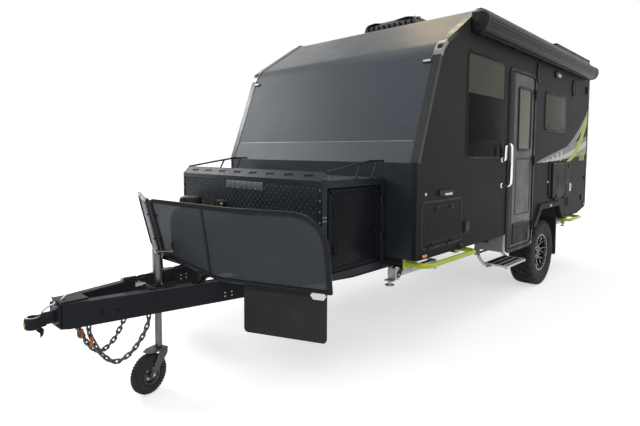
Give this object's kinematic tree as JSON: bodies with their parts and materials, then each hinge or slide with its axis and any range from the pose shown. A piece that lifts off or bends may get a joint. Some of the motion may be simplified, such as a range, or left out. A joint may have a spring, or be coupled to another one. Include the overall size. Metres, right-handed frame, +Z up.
{
  "type": "caravan",
  "caption": "Single-axle hybrid caravan with raked nose, A-frame drawbar, toolbox, stone guard, side door and folding step, parked on its wheels and jockey wheel.",
  "frame": {"origin": "on the floor and the centreline, half way between the coupling and the spare wheel", "axes": "+X to the trailer's left, where the door is, +Y to the rear, +Z up; the front faces -Y"},
  "size_m": [2.4829, 6.924, 2.945],
  "materials": {
    "body_panel": "satin",
    "slope_paint": "satin",
    "roof_paint": "satin",
    "floor_board": "matt",
    "moulding": "satin",
    "black_steel": "satin",
    "black_plastic": "matt",
    "tinted_pane": "gloss",
    "black_aluminium": "satin",
    "plywood": "matt",
    "polished_metal": "polished",
    "zinc": "satin",
    "chequer_black": "satin",
    "solar_cells": "gloss",
    "white_plastic": "gloss",
    "bottle_steel": "satin",
    "black_mesh": "satin",
    "flap_rubber": "matt",
    "lime_paint": "gloss",
    "tyre_rubber": "matt",
    "spring_paint": "gloss",
    "lamp_plastic": "gloss",
    "rim_alloy": "gloss",
    "table_panel": "satin",
    "step_alloy": "satin"
  },
  "bodies": {
    "body": {"front_wall": "body_panel", "slope_panel": "slope_paint", "roof_panel": "roof_paint", "rear_wall": "body_panel", "floor_panel": "floor_board", "left_wall": "body_panel", "right_wall": "body_panel", "edge_mouldings": "moulding", "wheel_boxes": "black_steel", "arch_flares": "black_plastic", "window_frames": "black_plastic", "window_panes": "tinted_pane", "door_frame": "black_aluminium", "step_well": "black_steel", "wall_hinges": "black_aluminium", "bed_base": "plywood", "grab_handle": "polished_metal", "chassis_frame": "black_steel", "cross_members": "black_steel", "drawbar_frame": "black_steel", "coupling": "black_steel", "safety_chains": "zinc", "toolbox": "chequer_black", "tray_rails": "chequer_black", "awning_cassette": "black_aluminium", "roof_rack": "black_aluminium", "solar_panels": "solar_cells", "roof_vent": "white_plastic", "gas_bottles": "bottle_steel", "stone_guard_frame": "black_steel", "stone_guard_mesh": "black_mesh", "mud_flaps": "flap_rubber", "side_bars": "lime_paint", "jockey_tube": "zinc", "trailing_arms": "black_steel", "springs_and_dampers": "spring_paint", "rear_bumper": "black_steel", "spare_wheel": "tyre_rubber", "tail_lights": "lamp_plastic", "water_tank": "black_plastic"},
    "entry_door": {"entry_door": "body_panel"},
    "left_hatch": {"front_hatch_left": "body_panel"},
    "right_hatch": {"front_hatch_right": "body_panel"},
    "picnic_table": {"picnic_table": "table_panel"},
    "toolbox_left": {"toolbox_door_left": "black_aluminium"},
    "toolbox_right": {"toolbox_door_right": "black_aluminium"},
    "step_arms": {"step_arms": "step_alloy"},
    "step_tread": {"step_tread": "step_alloy"},
    "jockey_leg": {"jockey_leg": "zinc"},
    "jockey_fork": {"jockey_fork": "zinc"},
    "jockey_wheel": {"jockey_wheel": "tyre_rubber"},
    "left_wheel": {"tyre_left": "tyre_rubber", "rim_left": "rim_alloy"},
    "right_wheel": {"tyre_right": "tyre_rubber", "rim_right": "rim_alloy"},
    "stabiliser_front_left": {"stabiliser_front_left": "zinc"},
    "stabiliser_front_right": {"stabiliser_front_right": "zinc"},
    "stabiliser_rear_left": {"stabiliser_rear_left": "zinc"},
    "stabiliser_rear_right": {"stabiliser_rear_right": "zinc"}
  },
  "joints": [
    {"name": "door_hinge", "type": "hinge", "parent": "body", "child": "entry_door", "pos_m": [1.1423, 1.032, 1.482], "axis": [0, 0, 1], "range_deg": [0, 150]},
    {"name": "left_hatch_hinge", "type": "hinge", "parent": "body", "child": "left_hatch", "pos_m": [1.1323, -0.883, 0.842], "axis": [0, 1, 0], "range_deg": [0, 95]},
    {"name": "right_hatch_hinge", "type": "hinge", "parent": "body", "child": "right_hatch", "pos_m": [-1.1323, -0.883, 0.842], "axis": [0, -1, 0], "range_deg": [0, 95]},
    {"name": "table_hinge", "type": "hinge", "parent": "body", "child": "picnic_table", "pos_m": [1.1623, 1.957, 1.035], "axis": [0, 1, 0], "range_deg": [0, 90]},
    {"name": "toolbox_left_hinge", "type": "hinge", "parent": "body", "child": "toolbox_left", "pos_m": [0.8593, -1.328, 1.025], "axis": [0, 0, 1], "range_deg": [0, 90]},
    {"name": "toolbox_right_hinge", "type": "hinge", "parent": "body", "child": "toolbox_right", "pos_m": [-0.8593, -1.328, 1.025], "axis": [0, 0, -1], "range_deg": [0, 90]},
    {"name": "step_swing", "type": "hinge", "parent": "body", "child": "step_arms", "pos_m": [0.82, 0.677, 0.524], "axis": [0, 1, 0], "range_deg": [0, 112]},
    {"name": "step_level", "type": "hinge", "parent": "step_arms", "child": "step_tread", "pos_m": [0.94, 0.677, 0.41], "axis": [0, 1, 0], "range_deg": [-112, 0]},
    {"name": "jockey_slide", "type": "slide", "parent": "body", "child": "jockey_leg", "axis": [0, 0, 1], "range_m": [0, 0.08]},
    {"name": "jockey_swivel", "type": "hinge", "parent": "jockey_leg", "child": "jockey_fork", "pos_m": [0.095, -2.723, 0.3], "axis": [0, 0, 1], "continuous": true},
    {"name": "jockey_spin", "type": "hinge", "parent": "jockey_fork", "child": "jockey_wheel", "pos_m": [0.11683, -2.80411, 0.128], "axis": [0.9656, 0.2599, 0], "continuous": true},
    {"name": "left_wheel_spin", "type": "hinge", "parent": "body", "child": "left_wheel", "pos_m": [0.9425, 1.612, 0.389], "axis": [1, 0, 0], "continuous": true},
    {"name": "right_wheel_spin", "type": "hinge", "parent": "body", "child": "right_wheel", "pos_m": [-0.9425, 1.612, 0.389], "axis": [1, 0, 0], "continuous": true},
    {"name": "stabiliser_front_left_swing", "type": "hinge", "parent": "body", "child": "stabiliser_front_left", "pos_m": [0.93, -1.238, 0.632], "axis": [-1, 0, 0], "range_deg": [0, 80]},
    {"name": "stabiliser_front_right_swing", "type": "hinge", "parent": "body", "child": "stabiliser_front_right", "pos_m": [-0.93, -1.238, 0.632], "axis": [-1, 0, 0], "range_deg": [0, 80]},
    {"name": "stabiliser_rear_left_swing", "type": "hinge", "parent": "body", "child": "stabiliser_rear_left", "pos_m": [0.93, 2.762, 0.632], "axis": [1, 0, 0], "range_deg": [0, 80]},
    {"name": "stabiliser_rear_right_swing", "type": "hinge", "parent": "body", "child": "stabiliser_rear_right", "pos_m": [-0.93, 2.762, 0.632], "axis": [1, 0, 0], "range_deg": [0, 80]}
  ],
  "couplings": [
    {"joint": "step_level", "follows": "step_swing", "ratio": -1}
  ]
}
